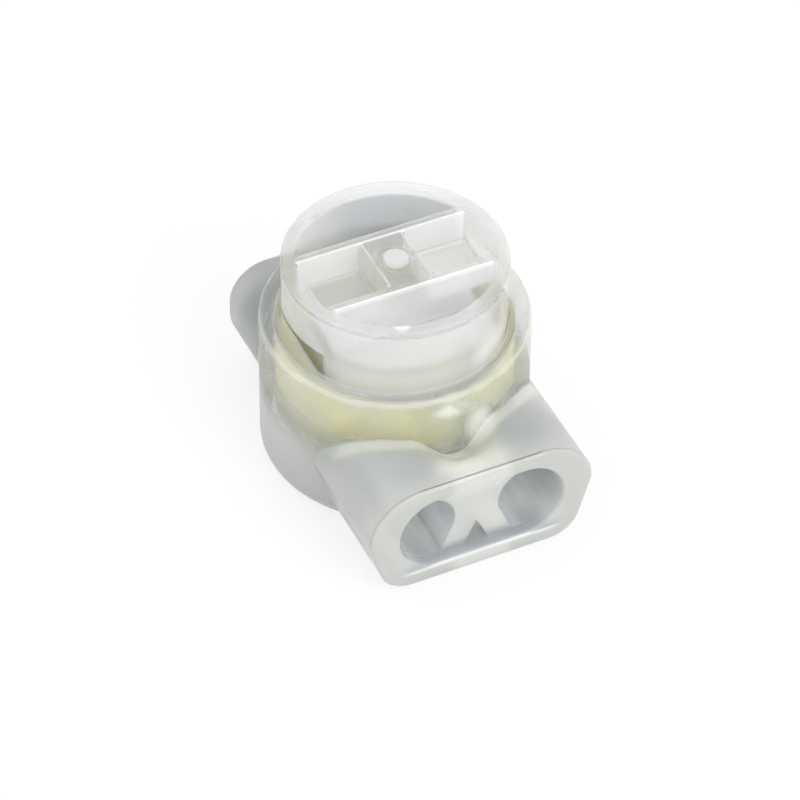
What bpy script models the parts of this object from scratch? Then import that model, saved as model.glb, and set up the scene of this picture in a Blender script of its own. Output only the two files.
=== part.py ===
"""A gel-filled butt connector for two thin insulated wires: a moulded cup with a block of two wire
ports, a clear press-down cap, a slotted sheet contact carried under the cap, and the sealing gel.

Metres, +Z up. The origin is the centre of the round base, on the surface that it stands on. The
wires enter along +Y through the front block, and the cap slides down along -Z into the cup.
"""

import math

import bmesh
import bpy
from mathutils import Matrix

# Cup of the housing: its bore follows from its wall, and the cap from its clearance in the bore
CUP_RADIUS = 0.0045
CUP_HEIGHT = 0.0056
CUP_BASE_FILLET = 0.00055
RIM_WALL = 0.0005
RIM_ROUNDING = 0.00012

# Wire channels
WIRE_PITCH = 0.0037
CHANNEL_RADIUS = 0.001075
END_WALL = 0.0007
FLARE_LENGTH = 0.001

# Mouth in the front face, one slot round both channels, and the divider set back behind it
MOUTH_RADIUS = 0.001425
MOUTH_DEPTH = 0.00045
FLOOR_WALL = 0.00065
MOUTH_STEP = 0.000015
FOOT_SPREAD = 0.00022
MOUTH_LIP = 0.00012
WAIST_ANGLE = 210
NOTCH_HALF_WIDTH = 0.00042
NOTCH_HEIGHT = 0.00088
NOTCH_DEPTH = 0.0015
NOTCH_SHOULDER_WIDTH = 0.45
NOTCH_SHOULDER_HEIGHT = 0.62

# Front block: it is widest below its rounded shoulders, and leans in from there to the bottom
BLOCK_LENGTH = 0.00222
BLOCK_SIDE_WALL = 0.001055
BLOCK_ROOF = 0.0006
BLOCK_SHOULDER = 0.00185
BLOCK_LOWER_ROUNDING = 0.00105
BLOCK_SIDE_LEAN = math.radians(16)
BLOCK_EDGE = 0.0001

# Valley between the two humps on top of the block, deepest at the cup
VALLEY_DEPTH = 0.00105
VALLEY_HALF_WIDTH = 0.0016
VALLEY_FADE = 0.0017

# Rear lobe, where the wire ends stop
LOBE_LENGTH = 0.0014
LOBE_SIDE_WALL = 0.000555
LOBE_FLOOR = 0.00046
LOBE_ROOF = 0.00074
LOBE_ROUNDING = 0.00143
LOBE_EDGE = 0.00022

# Cradle: the floor of the cup, with the channels' lower halves in it
CRADLE_DROP = 0.0001

# Press cap, standing as it is before the wires are crimped
CAP_CLEARANCE = 0.00026
CAP_STROKE = 0.00237
CAP_ENGAGEMENT = 0.0004
CAP_EDGE = 0.0001
CAP_WALL = 0.00045
CAP_PLATE = 0.00032
BAR_HALF_DEPTH = 0.00145
BAR_DROP = 0.00012
BAR_WALL = 0.00032
CORE_HALF_WIDTH = 0.00075
CRESCENT_DEPTH = 0.0019
WINDOW_DEPTH = 0.0014
WINDOW_ROUNDING = 0.00018
PIP_RADIUS = 0.00042
PIP_HEIGHT = 0.0001
FLAT_DEPTH = 0.00044
FLAT_RISE = 0.0007
LEG_THICKNESS = 0.0004
LEG_HALF_DEPTH = 0.0017
LEG_TO_CONTACT = 0.00028

# Contact: a strip folded into an upside-down U, with one slotted fork for each wire in each leg
STRIP = 0.00032
STRIP_BEND = 0.0001
CONTACT_SETBACK = 0.0005
FORK_HALF_WIDTH = 0.00075
TIP_WIDTH = 0.0001
TIP_HEIGHT = 0.00045
SLOT_HALF_WIDTH = 0.00016
SLOT_ROOF = 0.00023
SLOT_MOUTH = 0.00052
FORK_GAP_HEIGHT = 0.0012
CONTACT_SEAT_GAP = 0.00004

# Room under and round the sliding pieces, and between the gel and what it touches
LEG_FLOOR_GAP = 0.00018
FORK_FLOOR_GAP = 0.00028
LEG_GAP = 0.00012
FORK_GAP = 0.00018
GEL_GAP = 0.00003

ROUND_STEPS = 96
ARC_STEPS = 10
VALLEY_STEPS = 16
FADE_STEPS = 10
LIP_STEPS = 3
FULLEST_ROUNDING = 0.48
MERGE = 0.000001
MARGIN = 0.0005

BORE_RADIUS = CUP_RADIUS - RIM_WALL
CAP_RADIUS = BORE_RADIUS - CAP_CLEARANCE
CAP_INNER = CAP_RADIUS - CAP_WALL
FLAT_REACH = CAP_RADIUS - FLAT_DEPTH
CONTACT_HALF_WIDTH = WIRE_PITCH / 2 + FORK_HALF_WIDTH
CAP_TOP = CUP_HEIGHT + CAP_STROKE
CAP_BOTTOM = CUP_HEIGHT - CAP_ENGAGEMENT
CHANNEL_HEIGHT = FLOOR_WALL + MOUTH_RADIUS
CHANNEL_SIDE = WIRE_PITCH / 2 + CHANNEL_RADIUS
CRADLE_HEIGHT = CHANNEL_HEIGHT - CRADLE_DROP
MOUTH_REACH = CHANNEL_SIDE - MOUTH_RADIUS
DIVIDER_FOOT = MOUTH_REACH - FOOT_SPREAD
BLOCK_REACH = CUP_RADIUS + BLOCK_LENGTH
BLOCK_HALF_WIDTH = CHANNEL_SIDE + BLOCK_SIDE_WALL
BLOCK_HEIGHT = CHANNEL_HEIGHT + MOUTH_RADIUS + BLOCK_ROOF
LOBE_REACH = CUP_RADIUS + LOBE_LENGTH
LOBE_HALF_WIDTH = CHANNEL_SIDE + LOBE_SIDE_WALL
LOBE_BOTTOM = CHANNEL_HEIGHT - CHANNEL_RADIUS - LOBE_FLOOR
LOBE_TOP = CHANNEL_HEIGHT + CHANNEL_RADIUS + LOBE_ROOF
CONTACT_HALF_DEPTH = BAR_HALF_DEPTH - CONTACT_SETBACK
CONTACT_TOP = CAP_BOTTOM + STRIP + 2 * CONTACT_SEAT_GAP
FORK_TIP = FLOOR_WALL + FORK_FLOOR_GAP + CAP_STROKE
SLOT_TOP = CONTACT_TOP - STRIP - SLOT_ROOF
FLAT_TOP = CUP_HEIGHT + FLAT_RISE
LEG_BOTTOM = FLOOR_WALL + LEG_FLOOR_GAP + CAP_STROKE


def clear_scene():
    for old in list(bpy.data.objects):
        bpy.data.objects.remove(old, do_unlink=True)


def new_collection(name):
    made = bpy.data.collections.new(name)
    bpy.context.scene.collection.children.link(made)
    return made


def plastic(name, colour, roughness, alpha):
    material = bpy.data.materials.new(name)
    material.use_nodes = True
    shader = material.node_tree.nodes["Principled BSDF"]
    shader.inputs["Base Color"].default_value = (*colour, 1)
    shader.inputs["Roughness"].default_value = roughness
    shader.inputs["Metallic"].default_value = 0
    shader.inputs["Alpha"].default_value = alpha
    return material


def tinned(name):
    material = bpy.data.materials.new(name)
    material.use_nodes = True
    shader = material.node_tree.nodes["Principled BSDF"]
    shader.inputs["Base Color"].default_value = (0.72, 0.72, 0.7, 1)
    shader.inputs["Roughness"].default_value = 0.3
    shader.inputs["Metallic"].default_value = 1
    return material


def arc(centre_a, centre_b, radius, start, end, steps=ARC_STEPS):
    """Points of an arc in any plane, its angles in degrees and both ends included."""
    angles = [math.radians(start + (end - start) * i / steps) for i in range(steps + 1)]
    return [(centre_a + radius * math.cos(t), centre_b + radius * math.sin(t)) for t in angles]


def mirrored(half):
    """A closed outline from the half that runs from its lowest to its highest point at +X."""
    return half + [(-x, z) for x, z in reversed(half)]


def object_of(name, mesh_maker, collection):
    mesh = bpy.data.meshes.new(name)
    mesh_maker.normal_update()
    bmesh.ops.recalc_face_normals(mesh_maker, faces=mesh_maker.faces)
    mesh_maker.to_mesh(mesh)
    mesh_maker.free()
    mesh.shade_smooth()
    mesh.set_sharp_from_angle(angle=math.radians(35))
    made = bpy.data.objects.new(name, mesh)
    collection.objects.link(made)
    return made


def extruded(name, outline, start, end, axis, collection):
    """A prism: along Z its outline holds x and y, and along Y it holds x and z."""
    shape = bmesh.new()
    if axis == "Z":
        corners = [shape.verts.new((a, b, start)) for a, b in outline]
        way = (0, 0, end - start)
    else:
        corners = [shape.verts.new((a, start, b)) for a, b in outline]
        way = (0, end - start, 0)
    face = shape.faces.new(corners)
    grown = bmesh.ops.extrude_face_region(shape, geom=[face])
    moved = [item for item in grown["geom"] if isinstance(item, bmesh.types.BMVert)]
    bmesh.ops.translate(shape, verts=moved, vec=way)
    return object_of(name, shape, collection)


def lofted(name, sections, collection):
    """A solid through sections that have as many points each, given as (y, [(x, z), ...])."""
    shape = bmesh.new()
    rings = [[shape.verts.new((x, y, z)) for x, z in outline] for y, outline in sections]
    for near, far in zip(rings, rings[1:]):
        loops = [[shape.edges.get((a, b)) or shape.edges.new((a, b)) for a, b in zip(r, r[1:] + r[:1])]
                 for r in (near, far)]
        bmesh.ops.bridge_loops(shape, edges=loops[0] + loops[1])
    shape.faces.new(rings[0])
    shape.faces.new(rings[-1])
    return object_of(name, shape, collection)


def turned(name, profile, collection):
    """A solid turned about Z from points (radius, z) that run from the top down the outer side."""
    shape = bmesh.new()
    points = [shape.verts.new((r, 0, z)) for r, z in profile]
    for a, b in zip(points, points[1:]):
        shape.edges.new((a, b))
    mesh = bpy.data.meshes.new(name)
    shape.to_mesh(mesh)
    shape.free()
    made = bpy.data.objects.new(name, mesh)
    collection.objects.link(made)
    screw = made.modifiers.new("turn", "SCREW")
    screw.steps = ROUND_STEPS
    screw.render_steps = ROUND_STEPS
    screw.use_merge_vertices = True
    screw.merge_threshold = MERGE
    screw.use_smooth_shade = True
    return made


def box(name, low, high, collection):
    shape = bmesh.new()
    bmesh.ops.create_cube(shape, size=1)
    size = [b - a for a, b in zip(low, high)]
    middle = [(a + b) / 2 for a, b in zip(low, high)]
    shape.transform(Matrix.Translation(middle) @ Matrix.Diagonal((*size, 1)))
    return object_of(name, shape, collection)


def join_or_cut(target, other, operation):
    step = target.modifiers.new(other.name, "BOOLEAN")
    step.operation = operation
    step.object = other
    step.solver = "EXACT"


def hide_helper(helper):
    helper.hide_render = True
    helper.display_type = "WIRE"


def block_section(valley):
    """Half of the block's section from the bottom up, with the valley of this depth in its top."""
    lean = BLOCK_SIDE_LEAN
    side_height = BLOCK_HEIGHT - BLOCK_SHOULDER
    lower_x = (BLOCK_HALF_WIDTH - (side_height - BLOCK_LOWER_ROUNDING) * math.tan(lean)
               - BLOCK_LOWER_ROUNDING / math.cos(lean))
    half = arc(lower_x, BLOCK_LOWER_ROUNDING, BLOCK_LOWER_ROUNDING, -90, -math.degrees(lean))
    crown_x = BLOCK_HALF_WIDTH - BLOCK_SHOULDER
    half += arc(crown_x, side_height, BLOCK_SHOULDER, 0, 90)
    for i in range(VALLEY_STEPS):
        x = crown_x * (1 - (i + 0.5) / VALLEY_STEPS)
        share = min(x / VALLEY_HALF_WIDTH, 1)
        half.append((x, BLOCK_HEIGHT - valley * (1 + math.cos(math.pi * share)) / 2))
    return mirrored(half)


def valley_at(reach):
    """The valley's depth at this distance in front of the cup's axis."""
    share = min(max((reach - CUP_RADIUS) / VALLEY_FADE, 0), 1)
    return VALLEY_DEPTH * (1 - share * share * (3 - 2 * share))


def front_block(collection):
    fade_end = min(CUP_RADIUS + VALLEY_FADE, BLOCK_REACH - 2 * BLOCK_EDGE)
    fade = [CUP_RADIUS + (fade_end - CUP_RADIUS) * i / FADE_STEPS for i in range(FADE_STEPS + 1)]
    reaches = [CUP_RADIUS / 2] + fade + [BLOCK_REACH]
    sections = [(-reach, block_section(valley_at(reach))) for reach in reversed(reaches)]
    block = lofted("front_block", sections, collection)
    edge = block.modifiers.new("edge", "BEVEL")
    edge.width = BLOCK_EDGE
    edge.segments = 2
    edge.limit_method = "ANGLE"
    edge.angle_limit = math.radians(60)
    return block


def rear_lobe(collection):
    rounding = min(LOBE_ROUNDING, FULLEST_ROUNDING * (LOBE_TOP - LOBE_BOTTOM))
    centre_x = LOBE_HALF_WIDTH - rounding
    half = arc(centre_x, LOBE_BOTTOM + rounding, rounding, -90, 0)
    half += arc(centre_x, LOBE_TOP - rounding, rounding, 0, 90)
    lobe = extruded("rear_lobe", mirrored(half), CUP_RADIUS / 2, LOBE_REACH, "Y", collection)
    edge = lobe.modifiers.new("edge", "BEVEL")
    edge.width = LOBE_EDGE
    edge.segments = 3
    edge.limit_method = "ANGLE"
    edge.angle_limit = math.radians(60)
    return lobe


def channel_outline(side, flare):
    """A wire channel's section: round where flare is 0, spread down to the mouth's floor where it is 1."""
    centre = WIRE_PITCH / 2
    sill = FLOOR_WALL + MOUTH_STEP
    round_part = arc(centre, CHANNEL_HEIGHT, CHANNEL_RADIUS, 0, 180, 2 * ARC_STEPS)
    lower_round = arc(centre, CHANNEL_HEIGHT, CHANNEL_RADIUS, 180, 360, 4 * ARC_STEPS)[1:-1]
    waist = arc(centre, CHANNEL_HEIGHT, CHANNEL_RADIUS, 180, WAIST_ANGLE)[1:]
    foot = (DIVIDER_FOOT, sill)
    toe = waist[-1]
    slope = [(toe[0] + (foot[0] - toe[0]) * i / ARC_STEPS, toe[1] + (foot[1] - toe[1]) * i / ARC_STEPS)
             for i in range(1, ARC_STEPS + 1)]
    floor = [(foot[0] + (MOUTH_REACH - foot[0]) * i / ARC_STEPS, sill) for i in range(1, ARC_STEPS + 1)]
    outer = arc(MOUTH_REACH, CHANNEL_HEIGHT, MOUTH_RADIUS - MOUTH_STEP, -90, 0)[1:-1]
    spread = waist + slope + floor + outer
    lower = [((1 - flare) * a + flare * c, (1 - flare) * b + flare * d)
             for (a, b), (c, d) in zip(lower_round, spread)]
    return [(side * x, z) for x, z in round_part + lower]


def wire_channel(side, collection):
    """One core of the mould: flared behind the mouth, round through the cup, blind in the lobe."""
    stations = [(-BLOCK_REACH - MARGIN, 1), (-CUP_RADIUS, 1), (-CUP_RADIUS + FLARE_LENGTH, 0),
                (LOBE_REACH - END_WALL, 0)]
    sections = [(y, channel_outline(side, flare)) for y, flare in stations]
    return lofted("wire_channel", sections, collection)


def mouth_outline(grown):
    return mirrored(arc(MOUTH_REACH, CHANNEL_HEIGHT, MOUTH_RADIUS + grown, -90, 90, 3 * ARC_STEPS))


def mouth(collection):
    """The slot round both channels, which widens in a quarter round where it meets the front face."""
    lip = arc(-BLOCK_REACH + MOUTH_LIP, MOUTH_LIP, MOUTH_LIP, 180, 270, LIP_STEPS)
    stations = [(-BLOCK_REACH - MARGIN, MOUTH_LIP)] + lip + [(-BLOCK_REACH + MOUTH_DEPTH, 0)]
    return lofted("mouth", [(y, mouth_outline(grown)) for y, grown in stations], collection)


def divider_notch(collection):
    """The pointed arch that splits the divider's lower end into two feet."""
    shoulder_x = NOTCH_HALF_WIDTH * NOTCH_SHOULDER_WIDTH
    shoulder_z = FLOOR_WALL + NOTCH_HEIGHT * NOTCH_SHOULDER_HEIGHT
    outline = [(-NOTCH_HALF_WIDTH, FLOOR_WALL), (NOTCH_HALF_WIDTH, FLOOR_WALL), (shoulder_x, shoulder_z),
               (0, FLOOR_WALL + NOTCH_HEIGHT), (-shoulder_x, shoulder_z)]
    front = -BLOCK_REACH - MARGIN
    return extruded("divider_notch", outline, front, -BLOCK_REACH + MOUTH_DEPTH + NOTCH_DEPTH, "Y",
                    collection)


def bore(collection):
    lip = RIM_ROUNDING
    profile = [(0, CUP_HEIGHT + MARGIN), (BORE_RADIUS + lip, CUP_HEIGHT + MARGIN),
               (BORE_RADIUS + lip, CUP_HEIGHT)]
    profile += [(2 * (BORE_RADIUS + lip) - r, z)
                for r, z in arc(BORE_RADIUS + lip, CUP_HEIGHT - lip, lip, 90, 0, 3)[1:]]
    profile += [(BORE_RADIUS, CRADLE_HEIGHT), (0, CRADLE_HEIGHT)]
    return turned("bore", profile, collection)


def fork_slot(side, collection):
    """Room in the cradle for one leg of the contact when the cap is pressed."""
    near = CONTACT_HALF_DEPTH - STRIP - FORK_GAP
    far = CONTACT_HALF_DEPTH + FORK_GAP
    low_y, high_y = sorted((side * near, side * far))
    reach = FLAT_REACH - LEG_THICKNESS
    high = CRADLE_HEIGHT + MARGIN
    return box("fork_slot", (-reach, low_y, FLOOR_WALL), (reach, high_y, high), collection)


def leg_pocket(side, collection):
    """Room beside the cradle for one flat leg of the cap."""
    near = FLAT_REACH - LEG_THICKNESS - LEG_GAP
    far = FLAT_REACH + LEG_GAP
    low_x, high_x = sorted((side * near, side * far))
    depth = LEG_HALF_DEPTH + LEG_GAP
    high = CRADLE_HEIGHT + MARGIN
    return box("leg_pocket", (low_x, -depth, FLOOR_WALL), (high_x, depth, high), collection)


def housing(parts, cutters):
    base = CUP_BASE_FILLET
    lip = RIM_ROUNDING
    profile = [(0, CUP_HEIGHT)] + arc(CUP_RADIUS - lip, CUP_HEIGHT - lip, lip, 90, 0, 3)
    profile += arc(CUP_RADIUS - base, base, base, 0, -90, 6) + [(0, 0)]
    body = turned("housing", profile, parts)
    for added in (front_block(cutters), rear_lobe(cutters)):
        join_or_cut(body, added, "UNION")
        hide_helper(added)
    cuts = [bore(cutters), mouth(cutters), divider_notch(cutters)]
    for side in (1, -1):
        cuts += [wire_channel(side, cutters), fork_slot(side, cutters), leg_pocket(side, cutters)]
    for cut in cuts:
        join_or_cut(body, cut, "DIFFERENCE")
        hide_helper(cut)
    return body


def crescent(side, low, high, collection):
    """The room between the bar across the cap and the cap's round wall."""
    half_angle = math.degrees(math.acos(BAR_HALF_DEPTH / CAP_INNER))
    middle = 90 * side
    outline = arc(0, 0, CAP_INNER, middle - half_angle, middle + half_angle, 4 * ARC_STEPS)
    return extruded("crescent", outline, low, high, "Z", collection)


def window(side, collection):
    """One of the two rectangular pockets in the top of the bar."""
    depth = BAR_HALF_DEPTH - BAR_WALL
    outer = math.sqrt(CAP_INNER**2 - depth**2)
    corner = WINDOW_ROUNDING
    outline = []
    for x, y, start in ((outer, depth, 0), (CORE_HALF_WIDTH, depth, 90), (CORE_HALF_WIDTH, -depth, 180),
                        (outer, -depth, 270)):
        in_x = x - corner if x == outer else x + corner
        in_y = y - corner if y > 0 else y + corner
        outline += arc(in_x, in_y, corner, start, start + 90, 4)
    outline = [(side * x, y) for x, y in outline]
    return extruded("window", outline, CAP_TOP - WINDOW_DEPTH, CAP_TOP + MARGIN, "Z", collection)


def pip(collection):
    """The low round gate mark in the middle of the bar."""
    top = CAP_TOP - BAR_DROP
    crown = PIP_RADIUS - PIP_HEIGHT
    profile = [(0, top + PIP_HEIGHT), (crown, top + PIP_HEIGHT), (PIP_RADIUS, top + PIP_HEIGHT / 2),
               (PIP_RADIUS, top - BAR_WALL), (0, top - BAR_WALL)]
    return turned("pip", profile, collection)


def cap_leg(side, collection):
    """A leg that guides the cap down beside the cradle. It grows from the plate, and side_flat trims it."""
    low_x, high_x = sorted((side * (FLAT_REACH - LEG_THICKNESS), side * (FLAT_REACH + FLAT_DEPTH / 2)))
    top = CAP_TOP - CRESCENT_DEPTH - CAP_PLATE / 2
    return box("cap_leg", (low_x, -LEG_HALF_DEPTH, LEG_BOTTOM), (high_x, LEG_HALF_DEPTH, top), collection)


def side_flat(side, collection):
    """The cut that leaves a flat on the cap's side, where the gel comes up past it."""
    low_x, high_x = sorted((side * FLAT_REACH, side * (CAP_RADIUS + MARGIN)))
    low = LEG_BOTTOM - MARGIN
    return box("side_flat", (low_x, -CAP_RADIUS, low), (high_x, CAP_RADIUS, FLAT_TOP), collection)


def contact_room(collection):
    """Room for the contact between the legs, which cuts into them only if the cup is narrow."""
    reach = CONTACT_HALF_WIDTH + LEG_TO_CONTACT
    depth = CONTACT_HALF_DEPTH + LEG_TO_CONTACT
    low, high = LEG_BOTTOM - MARGIN, CAP_BOTTOM - MARGIN / 2
    return box("contact_room", (-reach, -depth, low), (reach, depth, high), collection)


def contact_seat(collection):
    reach = CONTACT_HALF_WIDTH + CONTACT_SEAT_GAP
    depth = CONTACT_HALF_DEPTH + CONTACT_SEAT_GAP
    top = CONTACT_TOP + CONTACT_SEAT_GAP
    return box("contact_seat", (-reach, -depth, CAP_BOTTOM - MARGIN), (reach, depth, top), collection)


def press_cap(parts, cutters):
    profile = [(0, CAP_TOP)] + arc(CAP_RADIUS - CAP_EDGE, CAP_TOP - CAP_EDGE, CAP_EDGE, 90, 0, 3)
    profile += [(CAP_RADIUS, CAP_BOTTOM + CAP_EDGE), (CAP_RADIUS - CAP_EDGE, CAP_BOTTOM), (0, CAP_BOTTOM)]
    cap = turned("press_cap", profile, parts)
    dish_profile = [(0, CAP_TOP + MARGIN), (CAP_INNER, CAP_TOP + MARGIN), (CAP_INNER, CAP_TOP - BAR_DROP),
                    (0, CAP_TOP - BAR_DROP)]
    under_top = CAP_TOP - CRESCENT_DEPTH - CAP_PLATE
    steps = [(turned("dish", dish_profile, cutters), "DIFFERENCE")]
    for side in (1, -1):
        steps.append((crescent(side, CAP_TOP - CRESCENT_DEPTH, CAP_TOP + MARGIN, cutters), "DIFFERENCE"))
        steps.append((crescent(side, CAP_BOTTOM - MARGIN, under_top, cutters), "DIFFERENCE"))
        steps.append((window(side, cutters), "DIFFERENCE"))
        steps.append((cap_leg(side, cutters), "UNION"))
    steps.append((pip(cutters), "UNION"))
    steps += [(side_flat(side, cutters), "DIFFERENCE") for side in (1, -1)]
    steps += [(contact_room(cutters), "DIFFERENCE"), (contact_seat(cutters), "DIFFERENCE")]
    for helper, operation in steps:
        join_or_cut(cap, helper, operation)
        hide_helper(helper)
    return cap


def fork_edge(centre):
    """The lower edge of one fork, from its +X side round its slot to its -X side."""
    mouth_top = FORK_TIP + SLOT_MOUTH
    outside = FORK_HALF_WIDTH + TIP_HEIGHT / 3
    half = [(outside, FORK_TIP + 2 * TIP_HEIGHT), (FORK_HALF_WIDTH - TIP_HEIGHT / 3, FORK_TIP),
            (FORK_HALF_WIDTH - TIP_HEIGHT / 3 - TIP_WIDTH, FORK_TIP), (SLOT_HALF_WIDTH, mouth_top)]
    crown = arc(0, SLOT_TOP - SLOT_HALF_WIDTH, SLOT_HALF_WIDTH, 0, 180, 8)
    return [(centre + x, z) for x, z in half + crown + [(-x, z) for x, z in reversed(half)]]


def fork_cut(collection):
    """All that is stamped away below the two forks, as one outline."""
    low = FORK_TIP - MARGIN
    far = CONTACT_HALF_WIDTH + 2 * MARGIN
    right = fork_edge(WIRE_PITCH / 2)[:-1]
    gap_x = WIRE_PITCH / 2 - FORK_HALF_WIDTH
    right += [(gap_x, FORK_TIP + TIP_HEIGHT), (gap_x, FORK_TIP + FORK_GAP_HEIGHT)]
    upper = right + [(-x, z) for x, z in reversed(right)]
    outline = [(far, upper[0][1])] + upper + [(-far, upper[-1][1]), (-far, low), (far, low)]
    return extruded("fork_cut", outline, -CONTACT_HALF_DEPTH - MARGIN, CONTACT_HALF_DEPTH + MARGIN, "Y",
                    collection)


def contact(parts, cutters):
    """The folded strip: an outline in YZ run along X, then stamped into forks."""
    outer = STRIP + STRIP_BEND
    bend_y = CONTACT_HALF_DEPTH - outer
    bend_z = CONTACT_TOP - outer
    outside = [(CONTACT_HALF_DEPTH, FORK_TIP)] + arc(bend_y, bend_z, outer, 0, 90, 5)
    inside = arc(bend_y, bend_z, STRIP_BEND, 90, 0, 3) + [(CONTACT_HALF_DEPTH - STRIP, FORK_TIP)]
    outline = outside + [(-y, z) for y, z in reversed(outside)]
    outline += [(-y, z) for y, z in reversed(inside)] + inside
    strip = extruded("contact", outline, -CONTACT_HALF_WIDTH, CONTACT_HALF_WIDTH, "Y", parts)
    strip.data.transform(Matrix.Rotation(math.radians(90), 4, "Z"))
    cut = fork_cut(cutters)
    join_or_cut(strip, cut, "DIFFERENCE")
    hide_helper(cut)
    return strip


def sealant(parts, cutters):
    """The gel that fills the cup above the cradle, open round the contact and the cap's legs."""
    radius = BORE_RADIUS - GEL_GAP
    low = CRADLE_HEIGHT + GEL_GAP
    high = CAP_BOTTOM - GEL_GAP
    gel = turned("sealant", [(0, high), (radius, high), (radius, low), (0, low)], parts)
    top = high + MARGIN
    slots = []
    for side in (1, -1):
        near_y, far_y = CONTACT_HALF_DEPTH - STRIP - GEL_GAP, CONTACT_HALF_DEPTH + GEL_GAP
        low_y, high_y = sorted((side * near_y, side * far_y))
        reach = CONTACT_HALF_WIDTH + GEL_GAP
        fork_low = FORK_TIP - GEL_GAP
        slots.append(box("fork_room", (-reach, low_y, fork_low), (reach, high_y, top), cutters))
        near_x, far_x = FLAT_REACH - LEG_THICKNESS - GEL_GAP, FLAT_REACH + GEL_GAP
        low_x, high_x = sorted((side * near_x, side * far_x))
        depth = LEG_HALF_DEPTH + GEL_GAP
        leg_low = LEG_BOTTOM - GEL_GAP
        slots.append(box("leg_room", (low_x, -depth, leg_low), (high_x, depth, top), cutters))
    for slot in slots:
        join_or_cut(gel, slot, "DIFFERENCE")
        hide_helper(slot)
    return gel


def main():
    clear_scene()
    parts = new_collection("wire_connector")
    cutters = new_collection("cutters")
    housing(parts, cutters).data.materials.append(plastic("milky_plastic", (0.8, 0.8, 0.74), 0.25, 0.75))
    press_cap(parts, cutters).data.materials.append(plastic("clear_plastic", (0.88, 0.88, 0.88), 0.12, 0.5))
    contact(parts, cutters).data.materials.append(tinned("tinned_brass"))
    sealant(parts, cutters).data.materials.append(plastic("gel", (0.75, 0.72, 0.4), 0.2, 0.7))


main()
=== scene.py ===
# %% [markdown]
# # A gel-filled wire connector
#
# The real object is a butt connector for two thin insulated wires, about as big as a pea. A milky
# cup carries a block with two wire ports in front and a small lobe behind. A clear cap stands in
# the cup, holds a folded tin-plated contact under its bar, and is pressed down to join the wires.
# A clear yellowish gel fills the cup. Each of these is one piece here, modelled at its real place.
#
# The frame holds the plain solids of the same pieces and the bodies that they move with. It is
# loaded first, because everything here is fitted to it.

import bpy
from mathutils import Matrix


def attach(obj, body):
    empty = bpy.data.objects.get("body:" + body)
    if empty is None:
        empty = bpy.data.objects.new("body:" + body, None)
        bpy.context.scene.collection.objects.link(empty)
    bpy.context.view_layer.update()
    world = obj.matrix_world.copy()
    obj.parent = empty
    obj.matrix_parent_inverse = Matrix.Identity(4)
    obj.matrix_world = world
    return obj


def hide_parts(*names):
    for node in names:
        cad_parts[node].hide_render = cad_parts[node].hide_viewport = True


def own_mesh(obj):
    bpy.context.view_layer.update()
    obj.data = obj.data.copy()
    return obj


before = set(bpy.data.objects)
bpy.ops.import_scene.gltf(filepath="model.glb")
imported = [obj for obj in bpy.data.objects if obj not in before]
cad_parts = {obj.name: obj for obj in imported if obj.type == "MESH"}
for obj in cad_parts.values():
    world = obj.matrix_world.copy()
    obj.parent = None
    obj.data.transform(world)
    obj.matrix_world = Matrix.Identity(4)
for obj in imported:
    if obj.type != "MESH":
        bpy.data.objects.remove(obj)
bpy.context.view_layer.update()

# %% [markdown]
# ## Letting go of the solids
#
# Loading leaves the solids selected, and an operator acts on all that is selected, so they are let
# go before anything is made.

# %% Let go of the plain solids
import math

import bmesh
import bpy
from mathutils import Matrix, Vector

bpy.ops.object.select_all(action="DESELECT")

# %% [markdown]
# ## The camera
#
# The photograph was taken from above, a little to the left of the wire ports. Its camera was
# found by fitting the model's outline to the picture, so it comes first here and never changes:
# an angle round the object, a height, a small roll, a distance, and a long lens. The shift moves
# the picture by a few pixels, as the real framing does.

# %% Camera at the photograph's angle
PICTURE = 800
AZIMUTH, ELEVATION, ROLL = (math.radians(a) for a in (-25.638, 44.368, 0.539))
DISTANCE = 0.141686
PIXELS_PER_METRE = 29671
ORIGIN_PIXEL = (393.81, 431.667)
SENSOR = 36.0
NEAREST, FARTHEST = 0.005, 5

back = Vector((math.sin(AZIMUTH) * math.cos(ELEVATION), -math.cos(AZIMUTH) * math.cos(ELEVATION),
               math.sin(ELEVATION)))
level = Vector((math.cos(AZIMUTH), math.sin(AZIMUTH), 0))
upright = back.cross(level)
right = math.cos(ROLL) * level + math.sin(ROLL) * upright
up = math.cos(ROLL) * upright - math.sin(ROLL) * level

camera = bpy.data.objects.new("camera", bpy.data.cameras.new("camera"))
bpy.context.scene.collection.objects.link(camera)
camera.matrix_world = Matrix.Translation(back * DISTANCE) @ Matrix((right, up, back)).transposed().to_4x4()
camera.data.sensor_width = SENSOR
camera.data.lens = PIXELS_PER_METRE * DISTANCE * SENSOR / PICTURE
camera.data.shift_x = (PICTURE / 2 - ORIGIN_PIXEL[0]) / PICTURE
camera.data.shift_y = (ORIGIN_PIXEL[1] - PICTURE / 2) / PICTURE
camera.data.clip_start, camera.data.clip_end = NEAREST, FARTHEST
bpy.context.scene.camera = camera
print(f"lens {camera.data.lens:.1f} mm")

# %% [markdown]
# ## The sizes that the pieces share
#
# The same sizes as the plain solids', in metres. The round parts are centred on the origin, the
# wires come in along Y through the front block, and the cap slides along Z.

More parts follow.
